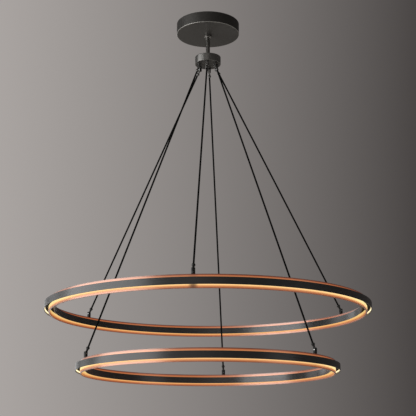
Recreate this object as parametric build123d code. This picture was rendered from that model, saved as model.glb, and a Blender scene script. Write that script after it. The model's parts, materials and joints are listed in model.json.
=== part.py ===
from build123d import *
import math
import os

# Two-tier ring chandelier, hung from the ceiling.
# Millimetres, +Z up, origin on the ceiling at the hanging axis.
# An angle on the rings is counted from the front (-Y) towards +X.

# Tiers
upper_ring_diameter = 1524.0
lower_ring_diameter = 1219.0
upper_ring_drop = 1453.0
lower_ring_drop = 1729.0
upper_first_post_angle = -4.6
lower_first_post_angle = 52.1
posts_per_ring = 3

# Ring section: a tall copper core between two lower black bands
core_height = 58.5
core_thickness = 6.0
band_height = 30.5
band_thickness = 3.0
band_gap = 19.0
band_below_core_middle = 1.0
carrier_thickness = 6.0
tie_rod_diameter = 4.0
tie_rods_per_ring = 12

# Light strips on the inner faces of the bands, above and below the carriers
strip_width = 4.0
strip_thickness = 1.0
diffuser_height = 6.0
diffuser_depth = 2.5
diffuser_wall = 0.8
light_from_carrier = 0.5
light_from_band = 0.3
feed_gap_length = 36.0
feed_block_length = 26.0
feed_block_width = 12.0
feed_block_height = 7.0

# Cables and their end fittings
cable_diameter = 8.2
fork_diameter = 17.0
fork_height = 26.0
fork_chamfer = 1.5
fork_pin_diameter = 4.0
fork_pin_from_end = 9.0
tongue_thickness = 4.5
tongue_width = 10.0
tongue_side_clearance = 0.6
twist_side_clearance = 2.25
terminal_neck_diameter = 10.0
neck_clearance = 0.5
terminal_ball_diameter = 16.0
terminal_ball_from_pin = 26.0
terminal_flat_from_ball = 5.5
cable_seat_depth = 8.0
twist_hole_clearance = 0.25
fork_stud_diameter = 4.0
stud_depth_in_core = 12.0
stud_depth_in_fork = 7.0
fork_spigot_diameter = 6.0
fork_nut_flats = 10.0
fork_nut_height = 5.0
fork_spigot_spare = 2.0

# Hub
hub_diameter = 128.0
hub_height = 38.0
hub_drop = 178.0
hub_wall = 3.0
hub_top_thickness = 5.0
hub_edge_radius = 2.0
hub_plate_thickness = 5.0
hub_fork_radius = 48.0
hub_pillar_radius_place = 50.0
hub_pillar_diameter = 12.0
hub_pillar_angle = -36.0
hub_pillars = 3
plate_screw_diameter = 4.0
plate_screw_head_diameter = 8.0
plate_screw_length = 18.0

# Stem and hang-straight swivel
stem_diameter = 20.5
stem_bore_diameter = 12.0
stem_spigot_diameter = 16.0
stem_nut_flats = 24.0
stem_nut_height = 7.0
stem_washer_diameter = 32.0
stem_washer_thickness = 1.5
stem_ring_diameter = 25.0
stem_ring_height = 6.0
swivel_ball_diameter = 24.0
swivel_neck_diameter = 9.6
swivel_neck_thread = 18.0
swivel_wire_bore = 5.0
swivel_drop_below_canopy = 4.5
liner_thickness = 1.2
liner_top_angle = 40.0
liner_bottom_angle = 48.0
cap_opening_angle = 50.0
cap_lip = 1.2
swivel_body_wall = 2.2
cap_skirt_wall = 2.4
ball_to_stem_ring = 16.5
swivel_body_crown = 8.0

# Canopy and what it covers
canopy_diameter = 313.0
canopy_height = 55.5
canopy_wall = 1.5
canopy_edge_chamfer = 1.2
plate_diameter = 280.0
plate_thickness = 3.0
box_screw_spacing = 88.9
box_slot_width = 5.5
box_slot_length = 12.0
anchor_circle_diameter = 240.0
anchor_hole_diameter = 6.5
anchor_holes = 4
wire_hole_diameter = 22.0
wire_hole_place = 34.0
nipple_diameter = 10.0
nipple_bore = 6.0
nipple_nut_flats = 17.0
nipple_nut_height = 5.0
nipple_engagement = 7.0
driver_length = 150.0
driver_width = 42.0
driver_height = 28.0
driver_edge_radius = 3.0
driver_place = 78.0
driver_tab_length = 12.0
driver_tab_thickness = 2.0
driver_screw_diameter = 4.0
driver_screw_head_diameter = 7.5
driver_screw_head_height = 2.6
terminal_block_size = (16.0, 34.0, 14.0)
terminal_block_place = 100.0
terminal_block_wires = 3
terminal_wire_hole = 4.0
ground_screw_diameter = 5.0
ground_screw_flats = 8.0
ground_screw_head = 4.0
ground_screw_place = 100.0

# Fits
running_clearance = 0.05
fixed_clearance = 0.03
seat_clearance = 0.1
flush_inset = 0.5
overshoot = 1.0

full_turn = 360.0
half_turn = 180.0
quarter_turn = 90.0

# Heights and radii that follow from the sizes above
ball_center_z = -(canopy_height + swivel_drop_below_canopy)
ball_radius = swivel_ball_diameter / 2
liner_inner_radius = ball_radius + running_clearance
liner_outer_radius = liner_inner_radius + liner_thickness
socket_radius = liner_outer_radius + running_clearance
swivel_body_radius = socket_radius + swivel_body_wall
cap_inner_radius = swivel_body_radius + fixed_clearance
cap_outer_radius = cap_inner_radius + cap_skirt_wall
cap_bottom_z = ball_center_z - socket_radius * math.cos(math.radians(cap_opening_angle)) - cap_lip
swivel_body_top_z = ball_center_z + socket_radius + swivel_body_crown
nipple_bottom_z = swivel_body_top_z - nipple_engagement
stem_ring_top_z = ball_center_z - ball_to_stem_ring
stem_top_z = stem_ring_top_z - stem_ring_height
neck_bottom_z = stem_top_z - swivel_neck_thread
hub_top_z = -hub_drop
hub_bottom_z = hub_top_z - hub_height
hub_plate_top_z = hub_bottom_z + hub_plate_thickness
hub_ceiling_z = hub_top_z - hub_top_thickness
hub_pin_z = hub_bottom_z - (fork_height - fork_pin_from_end)
stem_nut_top_z = hub_ceiling_z - stem_washer_thickness
stem_bottom_z = stem_nut_top_z - stem_nut_height - overshoot
fork_slot_depth = fork_pin_from_end + tongue_width / 2 + 2 * overshoot
cable_start = terminal_ball_from_pin + terminal_flat_from_ball - cable_seat_depth


def spread(count, first=0.0):
    return [first + full_turn * index / count for index in range(count)]


def at_angle(angle):
    # local +X becomes the outward direction at this ring angle
    return Rot(0, 0, angle - quarter_turn)


def rod(radius, low, high):
    return Pos(0, 0, low) * Cylinder(radius, high - low, align=(Align.CENTER, Align.CENTER, Align.MIN))


def tube(outer, inner, low, high):
    return rod(outer, low, high) - rod(inner, low - overshoot, high + overshoot)


def hex_nut(flats, bore, low, high):
    outline = RegularPolygon(flats / 2, 6, major_radius=False)
    body = Pos(0, 0, low) * extrude(outline, high - low)
    return body - rod(bore, low - overshoot, high + overshoot)


def turned(points, arc=full_turn):
    # a profile in radius and height, turned about the hanging axis
    outline = make_face(Polyline([(radius, 0, height) for radius, height in points], close=True))
    return revolve(outline, Axis.Z, revolution_arc=arc)


def save(name, *solids):
    shape = solids[0] if len(solids) == 1 else Compound(children=list(solids))
    shape.label = name
    export_step(shape, f"parts/{name}.step")


# Ceiling end

def mounting_plate():
    plate = rod(plate_diameter / 2, -plate_thickness, 0)
    plate -= rod(nipple_diameter / 2 + fixed_clearance, -plate_thickness - overshoot, overshoot)
    cut_height = plate_thickness + 2 * overshoot
    slot = extrude(SlotOverall(box_slot_length, box_slot_width), cut_height)
    for side in (-1, 1):
        plate -= Pos(side * box_screw_spacing / 2, 0, -plate_thickness - overshoot) * slot
    anchor = rod(anchor_hole_diameter / 2, -plate_thickness - overshoot, overshoot)
    for angle in spread(anchor_holes):
        plate -= Rot(0, 0, angle) * Pos(anchor_circle_diameter / 2, 0, 0) * anchor
    wire_hole = rod(wire_hole_diameter / 2, -plate_thickness - overshoot, overshoot)
    plate -= Pos(0, wire_hole_place, 0) * wire_hole
    tap = rod(driver_screw_diameter / 2 + fixed_clearance, -plate_thickness - overshoot, overshoot)
    for x, y in driver_screw_places():
        plate -= Pos(x, y, 0) * tap
    ground_tap = rod(ground_screw_diameter / 2 + fixed_clearance, -plate_thickness - overshoot, overshoot)
    return plate - Pos(-ground_screw_place, 0, 0) * ground_tap


def canopy_cover():
    outer = canopy_diameter / 2
    inner = outer - canopy_wall
    bottom = -canopy_height
    hole = swivel_body_radius + seat_clearance
    return turned([
        (outer, 0),
        (outer, bottom + canopy_edge_chamfer),
        (outer - canopy_edge_chamfer, bottom),
        (hole, bottom),
        (hole, bottom + canopy_wall),
        (inner, bottom + canopy_wall),
        (inner, 0),
    ])


def driver_screw_places():
    reach = (driver_length + driver_tab_length) / 2
    return [(x, y) for y in (-driver_place, driver_place) for x in (-reach, reach)]


def led_driver(y):
    top = -plate_thickness
    case = Pos(0, y, top - driver_height / 2) * Box(driver_length, driver_width, driver_height)
    case = fillet(case.edges().filter_by(Axis.X), driver_edge_radius)
    tab_span = driver_length + 2 * driver_tab_length
    tab = Pos(0, y, top - driver_tab_thickness / 2) * Box(tab_span, driver_width / 2, driver_tab_thickness)
    case += tab
    hole_radius = driver_screw_diameter / 2 + fixed_clearance
    hole = rod(hole_radius, top - driver_tab_thickness - overshoot, top + overshoot)
    for x, place_y in driver_screw_places():
        if place_y == y:
            case -= Pos(x, y, 0) * hole
    return case


def driver_screw(x, y):
    head_top = -plate_thickness - driver_tab_thickness
    head = rod(driver_screw_head_diameter / 2, head_top - driver_screw_head_height, head_top)
    return Pos(x, y, 0) * (head + rod(driver_screw_diameter / 2, head_top, -flush_inset))


def terminal_block():
    width, length, height = terminal_block_size
    block = Pos(terminal_block_place, 0, -plate_thickness - height / 2) * Box(width, length, height)
    wire = Rot(0, quarter_turn, 0) * Cylinder(terminal_wire_hole / 2, width + 2 * overshoot)
    pitch = length / terminal_block_wires
    for index in range(terminal_block_wires):
        y = (index - (terminal_block_wires - 1) / 2) * pitch
        block -= Pos(terminal_block_place, y, -plate_thickness - height / 2) * wire
    return block


def ground_screw():
    head_top = -plate_thickness
    head = Pos(0, 0, head_top - ground_screw_head) * extrude(
        RegularPolygon(ground_screw_flats / 2, 6, major_radius=False), ground_screw_head)
    screw = head + rod(ground_screw_diameter / 2, head_top, -flush_inset)
    return Pos(-ground_screw_place, 0, 0) * screw


def nipple():
    return tube(nipple_diameter / 2, nipple_bore / 2, nipple_bottom_z, 0)


def nipple_nuts():
    bore = nipple_diameter / 2 + fixed_clearance
    upper = hex_nut(nipple_nut_flats, bore, -plate_thickness - nipple_nut_height, -plate_thickness)
    lower = hex_nut(nipple_nut_flats, bore, swivel_body_top_z, swivel_body_top_z + nipple_nut_height)
    return upper, lower


def swivel_body():
    body = rod(swivel_body_radius, ball_center_z, swivel_body_top_z)
    body -= Pos(0, 0, ball_center_z) * Sphere(socket_radius)
    body -= rod(nipple_diameter / 2 + fixed_clearance, nipple_bottom_z, swivel_body_top_z + overshoot)
    return body - rod(nipple_bore / 2, ball_center_z, swivel_body_top_z)


def swivel_cap():
    skirt_top = -canopy_height
    cap = rod(cap_outer_radius, cap_bottom_z, skirt_top)
    cap -= rod(cap_inner_radius, ball_center_z, skirt_top + overshoot)
    cap -= Pos(0, 0, ball_center_z) * Sphere(socket_radius)
    mouth_depth = ball_center_z - cap_bottom_z + overshoot
    mouth_radius = mouth_depth * math.tan(math.radians(cap_opening_angle))
    mouth_z = ball_center_z - mouth_depth
    mouth = turned([(0, ball_center_z), (mouth_radius, mouth_z), (0, mouth_z)])
    return cap - mouth


# Swivel and stem

def swivel_liner():
    shell = Sphere(liner_outer_radius) - Sphere(liner_inner_radius)
    top_z = liner_outer_radius * math.cos(math.radians(liner_top_angle))
    bottom_z = -liner_outer_radius * math.cos(math.radians(liner_bottom_angle))
    return Pos(0, 0, ball_center_z) * (shell & rod(liner_outer_radius + overshoot, bottom_z, top_z))


def swivel_ball():
    ball = Pos(0, 0, ball_center_z) * Sphere(ball_radius)
    ball += rod(swivel_neck_diameter / 2, neck_bottom_z, ball_center_z)
    ball_top_z = ball_center_z + ball_radius
    return ball - rod(swivel_wire_bore / 2, neck_bottom_z - overshoot, ball_top_z + overshoot)


def stem_ring():
    neck_hole = swivel_neck_diameter / 2 + fixed_clearance
    return tube(stem_ring_diameter / 2, neck_hole, stem_top_z, stem_ring_top_z)


def stem_tube():
    neck_hole = swivel_neck_diameter / 2 + fixed_clearance
    stem = rod(stem_diameter / 2, hub_top_z, stem_top_z)
    stem += rod(stem_spigot_diameter / 2, stem_bottom_z, hub_top_z)
    stem -= rod(neck_hole, neck_bottom_z, stem_top_z + overshoot)
    return stem - rod(stem_bore_diameter / 2, stem_bottom_z - overshoot, neck_bottom_z)


def stem_washer():
    bore = stem_spigot_diameter / 2 + fixed_clearance
    return tube(stem_washer_diameter / 2, bore, stem_nut_top_z, hub_ceiling_z)


def stem_nut():
    bore = stem_spigot_diameter / 2 + fixed_clearance
    return hex_nut(stem_nut_flats, bore, stem_nut_top_z - stem_nut_height, stem_nut_top_z)


# Hub

def hub_fork_angles():
    return spread(posts_per_ring, upper_first_post_angle) + spread(posts_per_ring, lower_first_post_angle)


def hub_shell():
    outer = hub_diameter / 2
    shell = rod(outer, hub_bottom_z, hub_top_z)
    shell = fillet(shell.edges().sort_by(Axis.Z)[-1], hub_edge_radius)
    shell -= rod(outer - hub_wall, hub_bottom_z - overshoot, hub_ceiling_z)
    pillar = rod(hub_pillar_diameter / 2, hub_plate_top_z, hub_ceiling_z)
    screw_tip_z = hub_bottom_z + plate_screw_length + overshoot
    tap = rod(plate_screw_diameter / 2 + fixed_clearance, hub_plate_top_z - overshoot, screw_tip_z)
    for angle in spread(hub_pillars, hub_pillar_angle):
        place = at_angle(angle) * Pos(hub_pillar_radius_place, 0, 0)
        shell += place * pillar
        shell -= place * tap
    bore = stem_spigot_diameter / 2 + running_clearance
    return shell - rod(bore, hub_ceiling_z - overshoot, hub_top_z + overshoot)


def plate_screw(grow=0.0):
    head = plate_screw_head_diameter / 2
    shank = plate_screw_diameter / 2
    return turned([
        (0, hub_bottom_z),
        (head + grow, hub_bottom_z),
        (shank + grow, hub_bottom_z + head - shank),
        (shank + grow, hub_bottom_z + plate_screw_length),
        (0, hub_bottom_z + plate_screw_length),
    ])


def plate_screws(grow=0.0):
    return [at_angle(angle) * Pos(hub_pillar_radius_place, 0, 0) * plate_screw(grow)
            for angle in spread(hub_pillars, hub_pillar_angle)]


def hub_plate():
    plate = rod(hub_diameter / 2 - hub_wall - seat_clearance, hub_bottom_z, hub_plate_top_z)
    for screw in plate_screws(fixed_clearance):
        plate -= screw
    hole_radius = fork_spigot_diameter / 2 + fixed_clearance
    hole = rod(hole_radius, hub_bottom_z - overshoot, hub_plate_top_z + overshoot)
    for angle in hub_fork_angles():
        plate -= at_angle(angle) * Pos(hub_fork_radius, 0, 0) * hole
    return plate


# End fittings, standing on z = 0 with the slot open along X

def fork(side_clearance):
    radius = fork_diameter / 2
    post = turned([
        (0, 0),
        (radius, 0),
        (radius, fork_height - fork_chamfer),
        (radius - fork_chamfer, fork_height),
        (0, fork_height),
    ])
    slot_width = tongue_thickness + 2 * side_clearance
    slot_height = fork_slot_depth + overshoot
    slot_middle = fork_height - fork_slot_depth + slot_height / 2
    post -= Pos(0, 0, slot_middle) * Box(fork_diameter + overshoot, slot_width, slot_height)
    pin_radius = fork_pin_diameter / 2 + fixed_clearance
    pin_hole = Rot(quarter_turn, 0, 0) * Cylinder(pin_radius, fork_diameter + overshoot)
    return post - Pos(0, 0, fork_height - fork_pin_from_end) * pin_hole


def ring_fork():
    stud_hole = rod(fork_stud_diameter / 2 + fixed_clearance, -overshoot, stud_depth_in_fork)
    return fork(tongue_side_clearance) - stud_hole


def hub_fork():
    spigot = hub_plate_thickness + fork_nut_height + fork_spigot_spare
    return fork(twist_side_clearance) + rod(fork_spigot_diameter / 2, -spigot, 0)


def fork_pin():
    return Rot(quarter_turn, 0, 0) * Cylinder(fork_pin_diameter / 2, fork_diameter - 2 * flush_inset)


def terminal(neck_start):
    # pin along Y at the origin, cable leaving along +Z
    eye = Rot(quarter_turn, 0, 0) * Cylinder(tongue_width / 2, tongue_thickness)
    arm = Box(tongue_width, tongue_thickness, terminal_ball_from_pin)
    arm = Pos(0, 0, terminal_ball_from_pin / 2) * arm
    flat = terminal_ball_from_pin + terminal_flat_from_ball
    ball = Pos(0, 0, terminal_ball_from_pin) * Sphere(terminal_ball_diameter / 2)
    ball &= rod(terminal_ball_diameter, 0, flat)
    neck = rod(terminal_neck_diameter / 2, neck_start, terminal_ball_from_pin)
    body = eye + arm + neck + ball
    hole_radius = fork_pin_diameter / 2 + twist_hole_clearance
    body -= Rot(quarter_turn, 0, 0) * Cylinder(hole_radius, tongue_thickness + overshoot)
    return body - rod(cable_diameter / 2 + fixed_clearance, cable_start, flat + overshoot)


# One tier: everything below is placed by its ring's outer diameter and drop

class Tier:
    def __init__(self, name, diameter, drop, first_angle):
        self.name = name
        self.outer = diameter / 2
        self.band_inner_face = self.outer - band_thickness
        self.core_outer = self.band_inner_face - band_gap
        self.core_inner = self.core_outer - core_thickness
        self.core_middle = (self.core_outer + self.core_inner) / 2
        self.inner_band_outer = self.core_inner - band_gap
        self.inner_band_inner = self.inner_band_outer - band_thickness
        self.band_z = -drop
        self.core_z = self.band_z + band_below_core_middle
        self.core_top = self.core_z + core_height / 2
        self.pin_z = self.core_top + fork_height - fork_pin_from_end
        self.angles = spread(posts_per_ring, first_angle)
        self.feed_angle = first_angle
        across = hub_fork_radius - self.core_middle
        rise = hub_pin_z - self.pin_z
        self.pin_to_pin = math.hypot(across, rise)
        self.lean = math.degrees(math.atan2(across, rise))
        # the leaning neck starts just clear of the fork's end
        tilt = math.radians(abs(self.lean))
        neck_low = terminal_neck_diameter / 2 * math.sin(tilt)
        self.neck_start = (fork_pin_from_end + neck_clearance + neck_low) / math.cos(tilt)

    def at_ring_pin(self, angle):
        return at_angle(angle) * Pos(self.core_middle, 0, self.pin_z) * Rot(0, self.lean, 0)

    def at_hub_pin(self, angle):
        return at_angle(angle) * Pos(hub_fork_radius, 0, hub_pin_z) * Rot(0, self.lean + half_turn, 0)

    def at_core_top(self, angle):
        return at_angle(angle) * Pos(self.core_middle, 0, self.core_top)

    def cable(self, angle):
        length = self.pin_to_pin - 2 * cable_start
        return self.at_ring_pin(angle) * rod(cable_diameter / 2, cable_start, cable_start + length)

    def tie_rod_angles(self):
        return spread(tie_rods_per_ring, self.feed_angle + half_turn / tie_rods_per_ring)

    def tie_rods(self, grow=0.0, ends=-seat_clearance):
        inner = self.inner_band_outer - ends
        outer = self.band_inner_face + ends
        lying = Rot(0, quarter_turn, 0) * rod(tie_rod_diameter / 2 + grow, inner, outer)
        return [at_angle(angle) * Pos(0, 0, self.band_z) * lying for angle in self.tie_rod_angles()]

    def drilled(self, shape):
        for hole in self.tie_rods(fixed_clearance, overshoot):
            shape -= hole
        return shape

    def core_band(self):
        core = tube(self.core_outer, self.core_inner, self.core_z - core_height / 2, self.core_top)
        stud_hole = rod(fork_stud_diameter / 2 + fixed_clearance, -stud_depth_in_core, overshoot)
        for angle in self.angles:
            core -= self.at_core_top(angle) * stud_hole
        return self.drilled(core)

    def outer_band(self):
        half = band_height / 2
        return tube(self.outer, self.band_inner_face, self.band_z - half, self.band_z + half)

    def inner_band(self):
        half = band_height / 2
        return tube(self.inner_band_outer, self.inner_band_inner, self.band_z - half, self.band_z + half)

    def carrier(self, inner, outer):
        half = carrier_thickness / 2
        outer -= seat_clearance
        inner += seat_clearance
        return self.drilled(tube(outer, inner, self.band_z - half, self.band_z + half))

    def outer_carrier(self):
        return self.carrier(self.core_outer, self.band_inner_face)

    def inner_carrier(self):
        return self.carrier(self.inner_band_outer, self.core_inner)

    def gap_middles(self):
        return ((self.core_outer + self.band_inner_face) / 2, (self.core_inner + self.inner_band_outer) / 2)

    def light_run(self, profile):
        # a profile out from the inner faces of both bands, above and below the carriers, open at the feed
        open_angle = math.degrees(feed_gap_length / self.core_middle)
        turn = Rot(0, 0, self.feed_angle - quarter_turn + open_angle / 2)
        start = carrier_thickness / 2 + light_from_carrier
        runs = []
        for face, towards_core in ((self.band_inner_face, -1), (self.inner_band_outer, 1)):
            seat = face + towards_core * light_from_band
            outline = [(seat + towards_core * out, start + up) for out, up in profile]
            run = turn * turned(outline, full_turn - open_angle)
            for side in (run, mirror(run, Plane.XY)):
                runs.append(Pos(0, 0, self.band_z) * side)
        return runs

    def led_strips(self):
        low = (diffuser_height - strip_width) / 2
        high = low + strip_width
        return self.light_run([(0, low), (strip_thickness, low), (strip_thickness, high), (0, high)])

    def diffusers(self):
        inside = diffuser_depth - diffuser_wall
        ceiling = diffuser_height - diffuser_wall
        return self.light_run([
            (0, 0),
            (diffuser_depth, 0),
            (diffuser_depth, diffuser_height),
            (0, diffuser_height),
            (0, ceiling),
            (inside, ceiling),
            (inside, diffuser_wall),
            (0, diffuser_wall),
        ])

    def feed_blocks(self):
        block = Box(feed_block_width, feed_block_length, feed_block_height)
        z = self.band_z - carrier_thickness / 2 - feed_block_height / 2
        return [at_angle(self.feed_angle) * Pos(middle, 0, z) * block for middle in self.gap_middles()]

    def fork_stud(self, angle):
        stud = rod(fork_stud_diameter / 2, -stud_depth_in_core, stud_depth_in_fork)
        return self.at_core_top(angle) * stud

    def write(self):
        for number, angle in enumerate(self.angles, 1):
            save(f"{self.name}_cable_{number}", self.cable(angle))
        angles = self.angles
        pin = Pos(0, 0, fork_height - fork_pin_from_end) * fork_pin()
        end = terminal(self.neck_start)
        save(f"{self.name}_top_terminals", *[self.at_hub_pin(angle) * end for angle in angles])
        save(f"{self.name}_bottom_terminals", *[self.at_ring_pin(angle) * end for angle in angles])
        save(f"{self.name}_ring_forks", *[self.at_core_top(angle) * ring_fork() for angle in angles])
        save(f"{self.name}_fork_pins", *[self.at_core_top(angle) * pin for angle in angles])
        save(f"{self.name}_fork_studs", *[self.fork_stud(angle) for angle in angles])
        save(f"{self.name}_core_band", self.core_band())
        save(f"{self.name}_outer_band", self.outer_band())
        save(f"{self.name}_inner_band", self.inner_band())
        save(f"{self.name}_outer_carrier", self.outer_carrier())
        save(f"{self.name}_inner_carrier", self.inner_carrier())
        save(f"{self.name}_tie_rods", *self.tie_rods())
        save(f"{self.name}_led_strips", *self.led_strips())
        save(f"{self.name}_diffusers", *self.diffusers())
        save(f"{self.name}_feed_blocks", *self.feed_blocks())
        cable_length = self.pin_to_pin - 2 * cable_start
        print(f"{self.name} tier: pin to pin {self.pin_to_pin:.1f} mm, cable {cable_length:.1f} mm")
        print(f"{self.name} tier: cables lean {self.lean:.2f} degrees")


def write_ceiling_end():
    save("mounting_plate", mounting_plate())
    save("canopy_cover", canopy_cover())
    save("upper_driver", led_driver(-driver_place))
    save("lower_driver", led_driver(driver_place))
    save("driver_screws", *[driver_screw(x, y) for x, y in driver_screw_places()])
    save("terminal_block", terminal_block())
    save("ground_screw", ground_screw())
    save("nipple", nipple())
    save("nipple_nuts", *nipple_nuts())
    save("swivel_body", swivel_body())
    save("swivel_cap", swivel_cap())


def write_stem():
    save("swivel_liner", swivel_liner())
    save("swivel_ball", swivel_ball())
    save("stem_ring", stem_ring())
    save("stem_tube", stem_tube())
    save("stem_washer", stem_washer())
    save("stem_nut", stem_nut())


def write_hub():
    save("hub_shell", hub_shell())
    save("hub_plate", hub_plate())
    save("hub_plate_screws", *plate_screws())
    upside_down = Rot(half_turn, 0, 0)
    fork_seat = Pos(hub_fork_radius, 0, hub_bottom_z) * upside_down
    places = [at_angle(angle) * fork_seat for angle in hub_fork_angles()]
    save("hub_forks", *[place * hub_fork() for place in places])
    pin_height = Pos(0, 0, fork_height - fork_pin_from_end)
    save("hub_fork_pins", *[place * pin_height * fork_pin() for place in places])
    nut_bore = fork_spigot_diameter / 2 + fixed_clearance
    nut = hex_nut(fork_nut_flats, nut_bore, hub_plate_top_z, hub_plate_top_z + fork_nut_height)
    save("fork_nuts", *[at_angle(angle) * Pos(hub_fork_radius, 0, 0) * nut for angle in hub_fork_angles()])


os.makedirs("parts", exist_ok=True)
write_ceiling_end()
write_stem()
write_hub()
Tier("upper", upper_ring_diameter, upper_ring_drop, upper_first_post_angle).write()
Tier("lower", lower_ring_diameter, lower_ring_drop, lower_first_post_angle).write()
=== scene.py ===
import json
import math
import bpy
import bmesh
from mathutils import Matrix, Vector

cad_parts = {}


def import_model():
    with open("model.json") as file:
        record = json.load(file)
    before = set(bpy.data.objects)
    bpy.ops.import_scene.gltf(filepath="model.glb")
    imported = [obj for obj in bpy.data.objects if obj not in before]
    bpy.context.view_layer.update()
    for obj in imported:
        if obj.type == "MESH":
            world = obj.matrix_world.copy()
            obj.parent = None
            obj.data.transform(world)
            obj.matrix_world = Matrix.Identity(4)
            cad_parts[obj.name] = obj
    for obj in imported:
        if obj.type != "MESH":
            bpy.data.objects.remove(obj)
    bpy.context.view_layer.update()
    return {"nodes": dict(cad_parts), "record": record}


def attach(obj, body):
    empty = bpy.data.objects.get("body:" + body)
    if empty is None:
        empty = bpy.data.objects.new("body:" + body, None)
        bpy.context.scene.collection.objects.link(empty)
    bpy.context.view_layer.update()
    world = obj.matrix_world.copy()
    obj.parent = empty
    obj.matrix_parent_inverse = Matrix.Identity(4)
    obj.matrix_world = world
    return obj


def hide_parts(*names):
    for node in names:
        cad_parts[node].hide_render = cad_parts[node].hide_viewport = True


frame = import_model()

mm = 0.001


# Sockets and finishes

class Value:
    def __init__(self, nodes, socket):
        self.nodes = nodes
        self.socket = socket

    def maths(self, operation, other=0.0, swapped=False):
        first, second = (other, self) if swapped else (self, other)
        return self.nodes.node("ShaderNodeMath", {"operation": operation}, {0: first, 1: second})

    def __add__(self, other):
        return self.maths("ADD", other)

    def __sub__(self, other):
        return self.maths("SUBTRACT", other)

    def __rsub__(self, other):
        return self.maths("SUBTRACT", other, True)

    def __mul__(self, other):
        return self.maths("MULTIPLY", other)

    def __abs__(self):
        return self.maths("ABSOLUTE")

    __radd__ = __add__
    __rmul__ = __mul__

    def swing(self, amount):
        # a pattern from 0 to 1, as a change to both sides
        return (self - 0.5) * amount

    def blend(self, other, share):
        return self * share + other * (1.0 - share)


class Nodes:
    def __init__(self, owner):
        owner.use_nodes = True
        self.tree = owner.node_tree

    def node(self, kind, settings=(), sockets=(), output=0):
        made = self.tree.nodes.new(kind)
        for key, value in dict(settings).items():
            if key == "stops":
                self.stops(made.color_ramp, value)
            else:
                setattr(made, key, value)
        for key, value in dict(sockets).items():
            self.feed(made.inputs[key], value)
        return Value(self, made.outputs[output])

    def stops(self, ramp, stops):
        ramp.elements.remove(ramp.elements[1])
        for index, (position, colour) in enumerate(stops):
            element = ramp.elements[0] if index == 0 else ramp.elements.new(position)
            element.position = position
            element.color = (*colour, 1)

    def feed(self, socket, value):
        if isinstance(value, Value):
            self.tree.links.new(value.socket, socket)
        elif socket.type == "RGBA":
            socket.default_value = (*value, 1)
        else:
            socket.default_value = value

    def axes(self, vector):
        return [self.node("ShaderNodeSeparateXYZ", {}, {0: vector}, output) for output in range(3)]

    def between(self, value, low, high, toLow=0.0, toHigh=1.0, how="SMOOTHSTEP"):
        return self.node("ShaderNodeMapRange", {"interpolation_type": how},
                         {0: value, 1: low, 2: high, 3: toLow, 4: toHigh})

    def mix(self, factor, first, second, how="MIX"):
        return self.node("ShaderNodeMix", {"data_type": "RGBA", "blend_type": how},
                         {0: factor, 6: first, 7: second}, 2)

    def output(self, shader):
        last = next(node for node in self.tree.nodes if node.type.startswith("OUTPUT"))
        self.feed(last.inputs["Surface"], shader)


class Finish(Nodes):
    def __init__(self, name):
        self.material = bpy.data.materials.new(name)
        super().__init__(self.material)
        self.shader = self.tree.nodes["Principled BSDF"]
        self.place = self.node("ShaderNodeTexCoord", output="Object")

    def surface(self, **sockets):
        names = {"colour": "Base Color", "rough": "Roughness", "metal": "Metallic", "coat": "Coat Weight",
                 "coatRough": "Coat Roughness", "coatIor": "Coat IOR", "glow": "Emission Color",
                 "glowStrength": "Emission Strength", "normal": "Normal", "specular": "Specular IOR Level"}
        for key, value in sockets.items():
            self.feed(self.shader.inputs[names[key]], value)

    def vector(self, x, y, z):
        return self.node("ShaderNodeCombineXYZ", {}, {0: x, 1: y, 2: z})

    def noise(self, scale, detail=3.0, rough=0.5, vector=None):
        vector = vector or self.place
        return self.node("ShaderNodeTexNoise", {},
                         {"Vector": vector, "Scale": scale, "Detail": detail, "Roughness": rough}, "Fac")

    def bump(self, height, strength, distance):
        return self.node("ShaderNodeBump", {}, {"Height": height, "Strength": strength, "Distance": distance})

    def around(self):
        # angle and radius about the object's own upright axis, and height
        x, y, z = self.axes(self.place)
        angle = x.maths("ARCTAN2", y)
        radius = (x * x + y * y).maths("SQRT")
        return angle, radius, z

    def sides(self, radius, middleRadius, inside=0.0, outside=1.0):
        # one number inside a hoop's middle line, and another outside it
        return self.between(radius, middleRadius - mm, middleRadius + mm, inside, outside)


turningNoise = {"scale": 1.0, "detail": 4.0, "rough": 0.6}


def turningLines(finish, fine, long):
    # marks that run round the axis, as spinning or brushing on a lathe leaves them
    angle, radius, height = finish.around()
    marks = finish.vector(angle * long, radius * fine, height * fine)
    return finish.noise(**turningNoise, vector=marks)


blackBandLook = {
    "dark": (0.0155, 0.0153, 0.0148),
    "light": (0.0275, 0.0272, 0.0262),
    "rough": 0.31,
    "shine": 0.5,
    "lines": {"fine": 900.0, "long": 7.0},
    "linesRough": 0.14,
    "cloud": {"scale": 6.0},
    "cloudRough": 0.16,
    "relief": {"strength": 0.12, "distance": 0.3 * mm},
    "edge": (0.034, 0.034, 0.032),
    "edgeFrom": 0.9 * mm,
    "edgeTo": 0.1 * mm,
    "wear": {"scale": 70.0, "detail": 4.0, "rough": 0.6},
    "wearShows": (0.45, 0.62),
}
innerBandLook = {**blackBandLook, "rough": 0.24, "shine": 0.75}
carrierLook = {**blackBandLook, "rough": 0.8, "shine": 0.05}


def blackBandFinish(name, look, bandZ=0.0, halfTall=None):
    f = Finish(name)
    brush = turningLines(f, **look["lines"])
    cloud = f.noise(**look["cloud"])
    body = f.mix(brush, look["dark"], look["light"])
    if halfTall:
        height = f.axes(f.place)[2]
        edge = f.between(abs(height - bandZ), halfTall - look["edgeFrom"], halfTall - look["edgeTo"])
        worn = edge * f.between(f.noise(**look["wear"]), *look["wearShows"])
        body = f.mix(worn, body, look["edge"])
    f.surface(colour=body, specular=look["shine"], normal=f.bump(brush, **look["relief"]),
              rough=look["rough"] + brush.swing(look["linesRough"]) + cloud.swing(look["cloudRough"]))
    return f.material


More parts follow.
